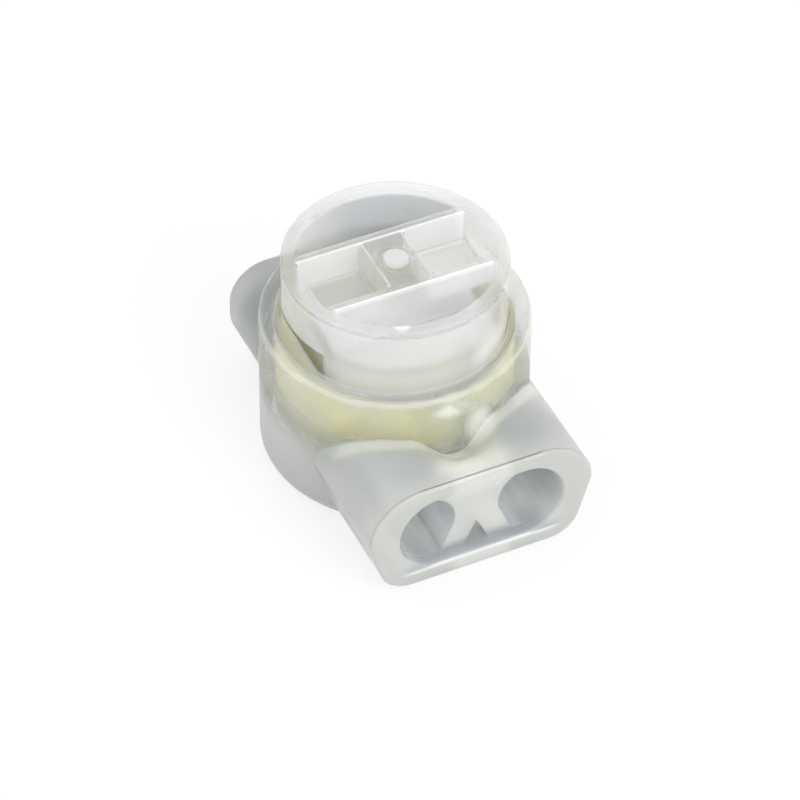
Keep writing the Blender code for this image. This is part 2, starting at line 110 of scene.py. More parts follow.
# %% Shared sizes
CUP_RADIUS, CUP_HEIGHT, BASE_FILLET = 0.0045, 0.0056, 0.00055
BORE_RADIUS, CRADLE_HEIGHT = 0.0040, 0.001975
CHANNEL_RADIUS, CHANNEL_HEIGHT, CHANNEL_X = 0.001075, 0.002075, 0.00185
FLOOR = 0.00065
BLOCK_REACH, BLOCK_HALF_WIDTH, BLOCK_HEIGHT = 0.00672, 0.00398, 0.0041
LOBE_REACH, LOBE_HALF_WIDTH, LOBE_LOW, LOBE_HIGH = 0.0059, 0.00348, 0.00054, 0.00389
CAP_RADIUS, CAP_TOP, CAP_BOTTOM, CAP_INNER = 0.00374, 0.00797, 0.0052, 0.00329
INSIDE_CUP = 0.00225
BEYOND = 0.0005
print(f"cup {CUP_RADIUS * 2000:.1f} mm across, wire channels {CHANNEL_RADIUS * 2000:.2f} mm")

# %% [markdown]
# ## Taking up a primitive
#
# Every piece is shaped the way a person would do it by hand: a primitive, then edit mode, then
# modifiers. A new primitive keeps its place and size in the object. They are moved into its mesh
# at once, because a finished piece sits at the origin, unturned and unscaled.

# %% Helpers for a new piece
TINY = 1e-6
ROUND_SIDES = 192


def only(piece):
    bpy.ops.object.select_all(action="DESELECT")
    piece.select_set(True)
    bpy.context.view_layer.objects.active = piece


def fresh(name, scale=(1, 1, 1)):
    """Names the primitive that was just added, and moves its place and size into its mesh."""
    piece = bpy.context.object
    piece.name = piece.data.name = name
    piece.scale = scale
    only(piece)
    bpy.ops.object.transform_apply(location=True, rotation=True, scale=True)
    return piece


def cylinder(name, radius, low, high, sides=ROUND_SIDES):
    bpy.ops.mesh.primitive_cylinder_add(vertices=sides, radius=radius, depth=high - low,
                                        location=(0, 0, (low + high) / 2))
    return fresh(name)


def tell(piece):
    """Prints a piece's size along X, Y and Z, and how many faces it has."""
    spans = [[corner.co[i] for corner in piece.data.vertices] for i in range(3)]
    size = " x ".join(f"{(max(span) - min(span)) * 1000:.2f}" for span in spans)
    print(f"{piece.name}: {size} mm, {len(piece.data.polygons)} faces")


housing = cylinder("housing_shell", CUP_RADIUS, 0, CUP_HEIGHT)
tell(housing)

# %% [markdown]
# ## Working in edit mode
#
# By hand, edges are picked by eye. In a script they are picked by a test on where they are.
# `Editing` opens edit mode on one piece and closes it again, and its `pick` selects the vertices,
# edges or faces that pass the test.

# %% Editing, and a test by place
class Editing:
    def __init__(self, piece):
        self.piece = piece

    def __enter__(self):
        only(self.piece)
        bpy.ops.object.mode_set(mode="EDIT")
        return self

    def __exit__(self, *problem):
        bpy.ops.object.mode_set(mode="OBJECT")

    def pick(self, kind, test):
        bpy.ops.mesh.select_mode(type=kind)
        bpy.ops.mesh.select_all(action="DESELECT")
        shape = bmesh.from_edit_mesh(self.piece.data)
        elements = {"VERT": shape.verts, "EDGE": shape.edges, "FACE": shape.faces}[kind]
        found = [element for element in elements if test(element)]
        for element in found:
            element.select_set(True)
        shape.select_flush_mode()
        bmesh.update_edit_mesh(self.piece.data)
        return len(found)

    def everything(self):
        bpy.ops.mesh.select_mode(type="VERT")
        bpy.ops.mesh.select_all(action="SELECT")


def at(axis, place):
    """A test for elements that lie wholly at this place along X, Y or Z."""
    number = "XYZ".index(axis)
    return lambda e: all(abs(v.co[number] - place) < TINY for v in getattr(e, "verts", [e]))


with Editing(housing) as edit:
    print(edit.pick("EDGE", at("Z", CUP_HEIGHT)), "edges round the cup's rim")

# %% [markdown]
# ## The housing: cup, block and lobe
#
# The real housing is one moulding. Its outside could be sculpted as a whole, but a mould maker
# would add simple bodies together, so that is done here: a round cup, an extruded block with
# rounded shoulders, and an extruded lobe. Each gets its own outer rounding while its edges are
# still clean, and Boolean unions join them. The cup comes first, with a fillet round its base and
# a softly rounded rim.

# %% The cup's outer body
RIM_ROUNDING = 0.00024


def round_edges(width, segments, affect="EDGES"):
    bpy.ops.mesh.bevel(offset=width, segments=segments, affect=affect, profile=0.5, clamp_overlap=False)


with Editing(housing) as edit:
    edit.pick("EDGE", at("Z", 0))
    round_edges(BASE_FILLET, segments=8)
    edit.pick("EDGE", at("Z", CUP_HEIGHT))
    round_edges(RIM_ROUNDING, segments=5)
tell(housing)

# %% [markdown]
# ## The block's outline
#
# Seen from the front, the block is a rectangle with a narrower foot and large round shoulders. It
# could be drawn point by point, but a plane shows the steps better: its foot is pulled in, its
# four corners are rounded by a vertex bevel, and its top edge is divided, because the valley
# between the two humps will need points there.

# %% The block's outline
BLOCK_SHOULDER = 0.00185
BLOCK_FOOT_ROUNDING = 0.00079
BLOCK_FOOT_HALF_WIDTH = 0.003335
VALLEY_COLUMNS = 47
ALMOST = 0.999


def upright_plane(name, half_width, low, high, y):
    """A rectangle that faces along Y."""
    bpy.ops.mesh.primitive_plane_add(size=1, location=(0, y, (low + high) / 2),
                                     rotation=(math.radians(90), 0, 0))
    return fresh(name, (2 * half_width, high - low, 1))


def width_of(edge):
    return abs(edge.verts[0].co.x - edge.verts[1].co.x)


block = upright_plane("block", BLOCK_HALF_WIDTH, 0, BLOCK_HEIGHT, -BLOCK_REACH)
shoulder_height = BLOCK_HEIGHT - BLOCK_SHOULDER
with Editing(block) as edit:
    edit.pick("EDGE", lambda e: width_of(e) < TINY)
    bpy.ops.mesh.subdivide(number_cuts=1)
    edit.pick("VERT", at("Z", BLOCK_HEIGHT / 2))
    bpy.ops.transform.translate(value=(0, 0, shoulder_height - BLOCK_HEIGHT / 2))
    edit.pick("VERT", at("Z", 0))
    bpy.ops.transform.resize(value=(BLOCK_FOOT_HALF_WIDTH / BLOCK_HALF_WIDTH, 1, 1),
                             center_override=(0, 0, 0))
    round_edges(BLOCK_FOOT_ROUNDING, segments=10, affect="VERTICES")
    edit.pick("VERT", at("Z", BLOCK_HEIGHT))
    round_edges(BLOCK_SHOULDER * ALMOST, segments=24, affect="VERTICES")
    edit.pick("EDGE", at("Z", BLOCK_HEIGHT))
    bpy.ops.mesh.subdivide(number_cuts=VALLEY_COLUMNS)
tell(block)

# %% [markdown]
# ## The block's length
#
# The outline is extruded back into the cup in short steps, so that the top has rows of points as
# well as columns.

# %% The block extruded in rows
VALLEY_ROWS = 30


def extrude(x=0.0, y=0.0, z=0.0):
    bpy.ops.mesh.extrude_region_move(TRANSFORM_OT_translate={"value": (x, y, z)})


with Editing(block) as edit:
    edit.pick("FACE", lambda f: True)
    row = (BLOCK_REACH - CUP_RADIUS + BASE_FILLET) / VALLEY_ROWS
    for _ in range(VALLEY_ROWS):
        extrude(y=row)
    extrude(y=CUP_RADIUS - BASE_FILLET - INSIDE_CUP)
tell(block)

# %% [markdown]
# ## The valley between the humps
#
# The real block is hollow above each wire, so its top is two humps with a valley between them,
# which fades out towards the front face. Sculpting it would be hard to repeat, so each point of
# the top is lowered by a sum: a cosine across the block, and a smooth step along it.

# %% The valley, and the block's front edge
VALLEY_DEPTH, VALLEY_HALF_WIDTH, VALLEY_FADE = 0.00105, 0.0016, 0.0017
BLOCK_EDGE = 0.00013
WIDE = BLOCK_HALF_WIDTH * 1.5


def tidy_normals(piece):
    """Merges doubled points and turns every face outwards."""
    with Editing(piece) as edit:
        edit.everything()
        bpy.ops.mesh.remove_doubles(threshold=TINY)
        bpy.ops.mesh.normals_make_consistent(inside=False)


for corner in block.data.vertices:
    if corner.co.z > BLOCK_HEIGHT - TINY:
        fade = min(max((-corner.co.y - CUP_RADIUS) / VALLEY_FADE, 0), 1)
        across = min(abs(corner.co.x) / VALLEY_HALF_WIDTH, 1)
        lengthwise = VALLEY_DEPTH * (1 - fade * fade * (3 - 2 * fade))
        corner.co.z -= lengthwise * (1 + math.cos(math.pi * across)) / 2

tidy_normals(block)
on_front = at("Y", -BLOCK_REACH)
with Editing(block) as edit:
    print(edit.pick("EDGE", lambda e: on_front(e) and not width_of(e) > WIDE), "edges round the front face")
    round_edges(BLOCK_EDGE, segments=5)
tell(block)

# %% [markdown]
# ## The rear lobe
#
# The lobe behind the cup is where the wire ends stop. It is narrower and lower than the block,
# and its corners are nearly half rounds, so a plane with a vertex bevel gives it in one step.

# %% The rear lobe
LOBE_ROUNDING, LOBE_EDGE = 0.00143, 0.00024

lobe = upright_plane("lobe", LOBE_HALF_WIDTH, LOBE_LOW, LOBE_HIGH, LOBE_REACH)
with Editing(lobe) as edit:
    edit.everything()
    round_edges(LOBE_ROUNDING, segments=16, affect="VERTICES")
    edit.pick("FACE", lambda f: True)
    extrude(y=INSIDE_CUP - LOBE_REACH)
tidy_normals(lobe)
with Editing(lobe) as edit:
    edit.pick("EDGE", at("Y", LOBE_REACH))
    round_edges(LOBE_EDGE, segments=6)
tell(lobe)

# %% [markdown]
# ## One moulding
#
# Block and lobe end inside the cup. A join would leave their hidden walls in the mesh, and milky
# plastic would show them, so the Boolean modifier unites the three and takes those walls away.

# %% The three bodies united
def combine(piece, other, operation):
    """A Boolean modifier with the other piece, applied, and the other piece thrown away."""
    step = piece.modifiers.new(operation.lower(), "BOOLEAN")
    step.operation, step.object, step.solver = operation, other, "EXACT"
    only(piece)
    bpy.ops.object.modifier_apply(modifier=step.name)
    bpy.data.objects.remove(other)


combine(housing, block, "UNION")
combine(housing, lobe, "UNION")
tell(housing)

# %% [markdown]
# ## The bore, with a soft lip
#
# The mould's cores leave the bore, the mouth and the wire channels empty, and all are cut with
# Booleans. A sharp cut would look like cut glass, while moulded plastic has soft lips. A bevel
# after the cut is risky on such a mesh, so the cutter itself widens in a quarter round where it
# leaves the surface.

# %% The bore for the cap
LIP = 0.00012
LIP_STEPS = 5


def soft_lip(cutter, axis, surface, way, rounding, beyond):
    """Widens the end face of a cutter in a quarter round up to the surface, and then runs on past it.

    The end face lies `rounding` short of the surface, and `way` is the direction of the extrusion.
    """
    with Editing(cutter) as edit:
        edit.pick("FACE", at(axis, surface - way * rounding))
        shape = bmesh.from_edit_mesh(cutter.data)
        corners = [v.co.copy() for v in shape.verts if v.select]
        low = Vector([min(c[i] for c in corners) for i in range(3)])
        high = Vector([max(c[i] for c in corners) for i in range(3)])
        middle, size = (low + high) / 2, high - low
        widened, raised = 0.0, 0.0
        for i in range(1, LIP_STEPS + 1):
            turn = math.radians(90 * i / LIP_STEPS)
            wider, higher = rounding * (1 - math.cos(turn)), rounding * math.sin(turn)
            extrude(**{axis.lower(): way * (higher - raised)})
            scale = [(s + 2 * wider) / (s + 2 * widened) if s > TINY else 1.0 for s in size]
            bpy.ops.transform.resize(value=scale, center_override=middle)
            widened, raised = wider, higher
        extrude(**{axis.lower(): way * beyond})


bore = cylinder("bore", BORE_RADIUS, CRADLE_HEIGHT, CUP_HEIGHT - LIP)
soft_lip(bore, "Z", CUP_HEIGHT, 1, LIP, BEYOND)
tidy_normals(bore)
tell(bore)
combine(housing, bore, "DIFFERENCE")

# %% [markdown]
# ## The mouth
#
# One slot-shaped mouth goes round both ports. A rectangle whose corners are rounded by half its
# height becomes that slot, and it is only as deep as the divider is set back.

# %% The mouth round both ports
MOUTH_RADIUS, MOUTH_DEPTH = 0.001425, 0.00045
MOUTH_LIP = 0.00012
DIVIDER_Y = -BLOCK_REACH + MOUTH_DEPTH
MOUTH_HALF_WIDTH = CHANNEL_X + CHANNEL_RADIUS

mouth = upright_plane("mouth", MOUTH_HALF_WIDTH, FLOOR, FLOOR + 2 * MOUTH_RADIUS, DIVIDER_Y)
with Editing(mouth) as edit:
    edit.everything()
    round_edges(MOUTH_RADIUS * ALMOST, segments=28, affect="VERTICES")
    edit.pick("FACE", lambda f: True)
    extrude(y=-(MOUTH_DEPTH - MOUTH_LIP))
soft_lip(mouth, "Y", -BLOCK_REACH, -1, MOUTH_LIP, BEYOND)
tidy_normals(mouth)
tell(mouth)
combine(housing, mouth, "DIFFERENCE")

# %% [markdown]
# ## The flare of a wire channel
#
# A wire channel is round through the cup, but behind the mouth its lower half spreads down to the
# mouth's floor, and this leaves the divider its narrow waist and sharp feet. The flare's outline
# has four parts: round the waist, down to the foot, along the floor, and up the mouth's end.

# %% The flare's outline
MOUTH_STEP = 0.000015
WAIST_TURN = math.radians(30)
FOOT_X = 0.00128
MOUTH_REACH = MOUTH_HALF_WIDTH - MOUTH_RADIUS
SILL = FLOOR + MOUTH_STEP


def spread_point(share):
    """Where a point of the channel's lower half goes, from 0 at the divider to 1 at the outer side."""
    along = (share * 4) % 1
    toe = (CHANNEL_X - CHANNEL_RADIUS * math.cos(WAIST_TURN),
           CHANNEL_HEIGHT - CHANNEL_RADIUS * math.sin(WAIST_TURN))
    if share < 0.25:
        turn = WAIST_TURN * along
        return CHANNEL_X - CHANNEL_RADIUS * math.cos(turn), CHANNEL_HEIGHT - CHANNEL_RADIUS * math.sin(turn)
    if share < 0.5:
        return toe[0] + (FOOT_X - toe[0]) * along, toe[1] + (SILL - toe[1]) * along
    if share < 0.75:
        return FOOT_X + (MOUTH_REACH - FOOT_X) * along, SILL
    turn = math.radians(90) * (along if share < 1 else 1)
    radius = MOUTH_RADIUS - MOUTH_STEP
    return MOUTH_REACH + radius * math.sin(turn), CHANNEL_HEIGHT - radius * math.cos(turn)


print("flare ends at", [round(v * 1000, 3) for v in spread_point(1)], "mm")

# %% [markdown]
# ## The wire channels
#
# A circle is extruded in three stretches: the flare, the narrowing, and the round rest. The lower
# halves of its first rings are then drawn out to the flare's outline, and each channel is cut.

# %% The wire channels
CHANNEL_SIDES = 80
FLARE_LENGTH, END_WALL = 0.001, 0.0007
CHANNEL_STOPS = (-CUP_RADIUS, -CUP_RADIUS + FLARE_LENGTH, LOBE_REACH - END_WALL)


def wire_channel(side):
    start = DIVIDER_Y - MOUTH_DEPTH / 2
    bpy.ops.mesh.primitive_circle_add(vertices=CHANNEL_SIDES, radius=CHANNEL_RADIUS, fill_type="NGON",
                                      location=(side * CHANNEL_X, start, CHANNEL_HEIGHT),
                                      rotation=(math.radians(90), 0, 0))
    channel = fresh("channel")
    with Editing(channel) as edit:
        edit.pick("FACE", lambda f: True)
        for stop in CHANNEL_STOPS:
            extrude(y=stop - start)
            start = stop
    for corner in channel.data.vertices:
        if corner.co.y < -CUP_RADIUS + TINY and corner.co.z < CHANNEL_HEIGHT - TINY:
            outwards = side * corner.co.x - CHANNEL_X
            share = math.atan2(CHANNEL_HEIGHT - corner.co.z, -outwards) / math.pi
            x, corner.co.z = spread_point(share)
            corner.co.x = side * x
    tidy_normals(channel)
    tell(channel)
    return channel


for side in (-1, 1):
    combine(housing, wire_channel(side), "DIFFERENCE")

# %% [markdown]
# ## The arch
#
# A pointed arch splits the divider's foot in two. A small rectangle is given a row of points half
# way up, and each row is narrowed: it keeps its width at the floor and comes to a tip at the top.

# %% The arch in the divider's foot
ARCH_HALF_WIDTH, ARCH_HEIGHT, ARCH_DEPTH = 0.00042, 0.00088, 0.0015
ARCH_WAIST, ARCH_WAIST_LIFT, ARCH_TIP = 0.45, ARCH_HEIGHT * 0.12, 0.03

arch = upright_plane("arch", ARCH_HALF_WIDTH, FLOOR, FLOOR + ARCH_HEIGHT, DIVIDER_Y - MOUTH_DEPTH / 2)
with Editing(arch) as edit:
    edit.pick("EDGE", lambda e: width_of(e) < TINY)
    bpy.ops.mesh.subdivide(number_cuts=1)
    edit.pick("VERT", at("Z", FLOOR + ARCH_HEIGHT / 2))
    bpy.ops.transform.resize(value=(ARCH_WAIST, 1, 1), center_override=(0, 0, 0))
    bpy.ops.transform.translate(value=(0, 0, ARCH_WAIST_LIFT))
    edit.pick("VERT", at("Z", FLOOR + ARCH_HEIGHT))
    bpy.ops.transform.resize(value=(ARCH_TIP, 1, 1), center_override=(0, 0, 0))
    edit.pick("FACE", lambda f: True)
    extrude(y=ARCH_DEPTH + MOUTH_DEPTH / 2)
tidy_normals(arch)
tell(arch)
combine(housing, arch, "DIFFERENCE")

# %% [markdown]
# ## The cradle's slots and pockets
#
# Inside the cup the cradle has two slots for the contact's legs and two pockets for the legs of
# the cap. They show only faintly through the milky wall, so plain cubes are enough.

# %% Slots and pockets in the cradle
POCKET_X, POCKET_HALF_DEPTH = (0.00278, 0.00342), 0.00182
SLOT_Y, SLOT_REACH = (0.00045, 0.00113), 0.0029
THROUGH_CRADLE = (FLOOR, CRADLE_HEIGHT + BEYOND)


def cube(name, *spans):
    """A box, given where it starts and ends along X, Y and Z."""
    bpy.ops.mesh.primitive_cube_add(size=1, location=[(low + high) / 2 for low, high in spans])
    return fresh(name, [high - low for low, high in spans])


def mirrored(side, ends):
    """A stretch on the positive side of the middle, or its mirror image."""
    return sorted(side * end for end in ends)


for side in (-1, 1):
    for room in (
        cube("slot", (-SLOT_REACH, SLOT_REACH), mirrored(side, SLOT_Y), THROUGH_CRADLE),
        cube("pocket", mirrored(side, POCKET_X), (-POCKET_HALF_DEPTH, POCKET_HALF_DEPTH), THROUGH_CRADLE),
    ):
        tell(room)
        combine(housing, room, "DIFFERENCE")

# %% [markdown]
# ## The housing's surface
#
# The outside of a moulding is smooth, but its corners are real. Shading by angle keeps every
# corner that is sharper than the limit, and weighted normals keep the flats flat beside the
# fillets. The housing is then tied to its body, and stands for the plain solid.

# %% The housing shaded and tied to its body
SMOOTH_UP_TO = math.radians(32)
FLAT_WEIGHT = 60


def finish_surface(piece):
    only(piece)
    bpy.ops.object.shade_smooth_by_angle(angle=SMOOTH_UP_TO)
    weigh = piece.modifiers.new("weigh", "WEIGHTED_NORMAL")
    weigh.keep_sharp = True
    weigh.weight = FLAT_WEIGHT
    bpy.ops.object.modifier_apply(modifier=weigh.name)
    tell(piece)


finish_surface(housing)
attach(housing, "body")
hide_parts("housing")

# %% [markdown]
# ## The press cap
#
# The cap is a clear plug. A cylinder gives its outside. The pockets are then cut from the top:
# a shallow dish that leaves the rim a little proud, a deep crescent on each side of the bar, and
# two rectangular windows in the bar itself.

# %% The cap's outer body and dish
CAP_EDGE, CAP_LIP, DISH = 0.00011, 0.00009, 0.00012

cap = cylinder("cap_clear", CAP_RADIUS, CAP_BOTTOM, CAP_TOP)
with Editing(cap) as edit:
    edit.pick("EDGE", at("Z", CAP_TOP))
    round_edges(CAP_EDGE, segments=5)
    edit.pick("EDGE", at("Z", CAP_BOTTOM))
    round_edges(CAP_EDGE, segments=3)
dish = cylinder("dish", CAP_INNER, CAP_TOP - DISH, CAP_TOP - CAP_LIP)
soft_lip(dish, "Z", CAP_TOP, 1, CAP_LIP, BEYOND)
tidy_normals(dish)
combine(cap, dish, "DIFFERENCE")
tell(cap)

# %% [markdown]
# ## The crescent pockets
#
# A crescent is what is left of a disc when a bisecting plane cuts the bar's strip away from it.
# The same cut serves four times: deep from above, and shallow from below, where the plug is hollow.

# %% Crescent pockets above and below
BAR_HALF_DEPTH, CRESCENT_DEPTH, CAP_PLATE = 0.00145, 0.0019, 0.00032
CRESCENT_CORNER = 0.00012
BAR_TOP, BAR_LIP = CAP_TOP - DISH, CAP_LIP / 2


def height_of(edge):
    return abs(edge.verts[0].co.z - edge.verts[1].co.z)


def crescent(side, low, high):
    room = cylinder("crescent", CAP_INNER, low, high)
    on_bar = at("Y", side * BAR_HALF_DEPTH)
    with Editing(room) as edit:
        edit.everything()
        bpy.ops.mesh.bisect(plane_co=(0, side * BAR_HALF_DEPTH, 0), plane_no=(0, side, 0), clear_inner=True,
                            use_fill=True)
        edit.pick("EDGE", lambda e: on_bar(e) and height_of(e) > TINY)
        round_edges(CRESCENT_CORNER, segments=4)
    tidy_normals(room)
    return room


for side in (-1, 1):
    deep = crescent(side, CAP_TOP - CRESCENT_DEPTH, BAR_TOP - BAR_LIP)
    soft_lip(deep, "Z", BAR_TOP, 1, BAR_LIP, BEYOND)
    tell(deep)
    combine(cap, deep, "DIFFERENCE")
    combine(cap, crescent(side, CAP_BOTTOM - BEYOND, CAP_TOP - CRESCENT_DEPTH - CAP_PLATE), "DIFFERENCE")

# %% [markdown]
# ## The windows
#
# Each window is a rectangle with rounded corners and a rounded floor, sunk into the bar. It saves
# plastic and keeps the bar's walls even. A cube, bevelled in two steps, is its cutter.

# %% Windows in the bar
WINDOW_X, WINDOW_HALF_DEPTH, WINDOW_DEPTH = (0.00075, 0.00309), 0.00113, 0.0014
WINDOW_CORNER, WINDOW_FOOT = 0.0002, 0.00014

for side in (-1, 1):
    window = cube("window", mirrored(side, WINDOW_X), (-WINDOW_HALF_DEPTH, WINDOW_HALF_DEPTH),
                  (CAP_TOP - WINDOW_DEPTH, BAR_TOP - BAR_LIP))
    with Editing(window) as edit:
        edit.pick("EDGE", lambda e: height_of(e) > TINY)
        round_edges(WINDOW_CORNER, segments=5)
        edit.pick("EDGE", at("Z", CAP_TOP - WINDOW_DEPTH))
        round_edges(WINDOW_FOOT, segments=4)
    tidy_normals(window)
    soft_lip(window, "Z", BAR_TOP, 1, BAR_LIP, BEYOND)
    tell(window)
    combine(cap, window, "DIFFERENCE")

# %% [markdown]
# ## The gate mark
#
# Plastic entered the mould in the middle of the bar, and left a small round stub in a dimple. The
# dimple is cut and the stub added, each from a short cylinder with one soft edge.

# %% Gate mark in its dimple
GATE_RADIUS, GATE_RISE, GATE_ROOT, GATE_EDGE = 0.00042, 0.0001, 2 * DISH, 0.8
DIMPLE_RADIUS, DIMPLE_DEPTH, DIMPLE_FOOT = 0.0006, 0.00012, 0.6
GATE_SIDES = 64

dimple = cylinder("dimple", DIMPLE_RADIUS, BAR_TOP - DIMPLE_DEPTH, BAR_TOP - BAR_LIP, GATE_SIDES)
with Editing(dimple) as edit:
    edit.pick("EDGE", at("Z", BAR_TOP - DIMPLE_DEPTH))
    round_edges(DIMPLE_DEPTH * DIMPLE_FOOT, segments=4)
soft_lip(dimple, "Z", BAR_TOP, 1, BAR_LIP, BEYOND)
combine(cap, dimple, "DIFFERENCE")
gate = cylinder("gate", GATE_RADIUS, BAR_TOP - GATE_ROOT, BAR_TOP + GATE_RISE, GATE_SIDES)
with Editing(gate) as edit:
    edit.pick("EDGE", at("Z", BAR_TOP + GATE_RISE))
    round_edges(GATE_RISE * GATE_EDGE, segments=4)
tell(gate)
combine(cap, gate, "UNION")

# %% [markdown]
# ## Flats and legs
#
# The cap's sides are cut flat below its rim, where the gel wells up, and a leg runs down from each
# flat into the cradle. It guides the cap as it comes down. Cubes give both.

# %% Flats and legs
FLAT_X, FLAT_TOP = 0.0033, 0.0063
LEG_THICKNESS, LEG_HALF_DEPTH, LEG_LOW = 0.0004, 0.0017, 0.0032

for side in (-1, 1):
    flat = cube("flat", mirrored(side, (FLAT_X, CAP_RADIUS + BEYOND)), (-CAP_RADIUS, CAP_RADIUS),
                (LEG_LOW - BEYOND, FLAT_TOP))
    combine(cap, flat, "DIFFERENCE")
    leg = cube("leg", mirrored(side, (FLAT_X - LEG_THICKNESS, FLAT_X)), (-LEG_HALF_DEPTH, LEG_HALF_DEPTH),
               (LEG_LOW, CAP_BOTTOM + CAP_PLATE))
    tell(leg)
    combine(cap, leg, "UNION")

# %% [markdown]
# ## The contact's seat
#
# The folded contact sits in a recess under the bar. It is cut last, and the cap is then shaded
# and tied to its own body, which slides.

# %% Seat of the contact, and the cap's surface
SEAT_REACH, SEAT_HALF_DEPTH, SEAT_TOP = 0.00264, 0.00099, 0.00564

seat = cube("seat", (-SEAT_REACH, SEAT_REACH), (-SEAT_HALF_DEPTH, SEAT_HALF_DEPTH),
            (CAP_BOTTOM - BEYOND, SEAT_TOP))
combine(cap, seat, "DIFFERENCE")
finish_surface(cap)
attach(cap, "cap")
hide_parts("press_cap")

# %% [markdown]
# ## The gel
#
# The gel fills the cup from the cradle to the cap, and wells up in the two gaps beside the cap's
# flats. A fluid simulation would be far too much for a still pool, so a cylinder is cut out by the
# plug's shape: a disc whose two sides are bisected off.

# %% The gel round the plug
GEL_LOW, GEL_HIGH, GEL_GAP = 0.002005, 0.00517, 0.00003
GEL_RADIUS = BORE_RADIUS - GEL_GAP
WELL_RISE = 0.0003

gel = cylinder("gel_fill", GEL_RADIUS, GEL_LOW, GEL_HIGH + WELL_RISE)
plug_room = cylinder("plug_room", CAP_RADIUS + GEL_GAP / 2, GEL_HIGH, GEL_HIGH + BEYOND)
for side in (-1, 1):
    with Editing(plug_room) as edit:
        edit.everything()
        bpy.ops.mesh.bisect(plane_co=(side * (FLAT_X + 2 * GEL_GAP), 0, 0), plane_no=(side, 0, 0),
                            clear_outer=True, use_fill=True)
tidy_normals(plug_room)
combine(gel, plug_room, "DIFFERENCE")
tell(gel)

# %% [markdown]
# ## The gel's surface and its rooms
#
# Where the gel wells up, its surface climbs the wall a little, which an inset that is lowered
# gives. Rooms for the contact's blades and the cap's legs go right through it, so that nothing
# cuts through the gel when the cap is pressed.

# %% The gel's sagging surface, and rooms for blades and legs
WELL_SAG = 0.00015 / 3
BLADE_Y, BLADE_REACH = (0.0006, 0.00098), 0.00263
LEG_ROOM_X = (FLAT_X - LEG_THICKNESS - GEL_GAP, FLAT_X + GEL_GAP)
LEG_ROOM_Y = (-LEG_HALF_DEPTH - GEL_GAP, LEG_HALF_DEPTH + GEL_GAP)
THROUGH_GEL = (GEL_LOW - BEYOND, GEL_HIGH + BEYOND)

with Editing(gel) as edit:
    edit.pick("FACE", at("Z", GEL_HIGH + WELL_RISE))
    bpy.ops.mesh.inset(thickness=WELL_SAG)
    bpy.ops.transform.translate(value=(0, 0, -WELL_SAG))
for side in (-1, 1):
    for room in (
        cube("fork_room", (-BLADE_REACH, BLADE_REACH), mirrored(side, BLADE_Y), THROUGH_GEL),
        cube("leg_room", mirrored(side, LEG_ROOM_X), LEG_ROOM_Y, THROUGH_GEL),
    ):
        combine(gel, room, "DIFFERENCE")
finish_surface(gel)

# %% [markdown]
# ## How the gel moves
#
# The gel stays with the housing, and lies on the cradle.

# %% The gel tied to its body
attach(gel, "body")
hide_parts("sealant")
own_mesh(gel)
print("gel anchored at", GEL_LOW * 1000, "mm")

# %% [markdown]
# ## Shader maths as plain sums
#
# A shader's numbers are worked out by nodes. `Value` wraps one socket, and each operator adds the
# Math node that works it out, so a pattern reads like a sum.

# %% Value
class Value:
    def __init__(self, finish, socket):
        self.finish, self.socket = finish, socket

    def math(self, operation, first, second):
        made = self.finish.node("ShaderNodeMath", {"operation": operation}, {0: first, 1: second})
        return Value(self.finish, made.outputs[0])

    def __add__(self, other):
        return self.math("ADD", self, other)

    def __mul__(self, other):
        return self.math("MULTIPLY", self, other)

    def __sub__(self, other):
        return self.math("SUBTRACT", self, other)

    def __rsub__(self, other):
        return self.math("SUBTRACT", other, self)

    def __abs__(self):
        return self.math("ABSOLUTE", self, 0.0)

    def reach(self, other):
        """The length of the hypotenuse of two distances."""
        squares = self * self + other * other
        return squares.math("SQRT", squares, 0.0)

    __radd__ = __add__
    __rmul__ = __mul__


print("sums of sockets with + - * and abs")

# %% [markdown]
# ## One tree for each finish
#
# `Finish` holds one material's tree. Its `node` adds any kind of node, and the other methods are
# the few patterns that the plastics share: soft steps by place, noise, colours laid over each
# other, a bump, and the closing of the tree. All read Object coordinates, so they stay on the
# piece in every view and pose.

